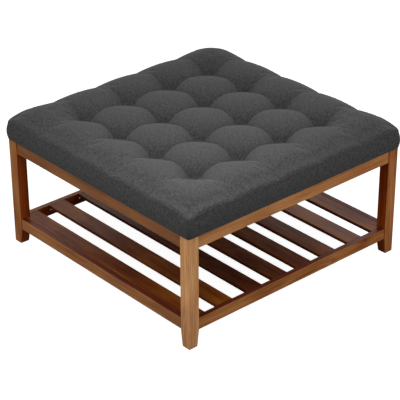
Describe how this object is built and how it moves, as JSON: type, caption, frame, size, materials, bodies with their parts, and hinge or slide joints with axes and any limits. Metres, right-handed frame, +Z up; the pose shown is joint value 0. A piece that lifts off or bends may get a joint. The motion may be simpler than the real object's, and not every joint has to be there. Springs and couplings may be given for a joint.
{
  "type": "ottoman coffee table",
  "caption": "Square coffee table with a tufted fabric seat top on a wooden leg frame, with a slatted shelf near the floor.",
  "frame": {"origin": "on the floor under the middle of the table", "axes": "+Z up, +X along the shelf slats, +Y from the front rail to the back rail"},
  "size_m": [0.782, 0.782, 0.4192],
  "materials": {
    "walnut_lacquer": "semi-gloss lacquer over walnut-stained grain",
    "bare_hardwood": "planed, unfinished",
    "nickel_plate": "satin nickel plate",
    "zinc_steel": "bright zinc plate",
    "plywood": "sanded plywood",
    "foam": "cut upholstery foam",
    "charcoal_linen": "plain-woven charcoal linen look",
    "black_lining": "non-woven lining cloth",
    "tuft_twine": "waxed twine"
  },
  "bodies": {
    "root": {"leg_front_left": "walnut_lacquer", "leg_front_right": "walnut_lacquer", "leg_back_right": "walnut_lacquer", "leg_back_left": "walnut_lacquer", "apron_front": "walnut_lacquer", "apron_back": "walnut_lacquer", "apron_left": "walnut_lacquer", "apron_right": "walnut_lacquer", "lower_rail_front": "walnut_lacquer", "lower_rail_back": "walnut_lacquer", "lower_rail_left": "walnut_lacquer", "lower_rail_right": "walnut_lacquer", "slat_1": "walnut_lacquer", "slat_2": "walnut_lacquer", "slat_3": "walnut_lacquer", "slat_4": "walnut_lacquer", "slat_5": "walnut_lacquer", "slat_6": "walnut_lacquer", "slat_7": "walnut_lacquer", "slat_8": "walnut_lacquer", "corner_block_front_left": "bare_hardwood", "corner_block_front_right": "bare_hardwood", "corner_block_back_right": "bare_hardwood", "corner_block_back_left": "bare_hardwood", "apron_dowels": "bare_hardwood", "rail_dowels": "bare_hardwood", "slat_pins": "nickel_plate", "leg_bolts": "zinc_steel", "leg_bolt_washers": "zinc_steel", "leg_bolt_nuts": "zinc_steel", "block_screws": "zinc_steel", "seat_screws": "zinc_steel", "seat_board": "plywood", "seat_foam": "foam", "seat_cover": "charcoal_linen", "dust_cover": "black_lining", "tuft_ties": "tuft_twine"}
  },
  "joints": []
}
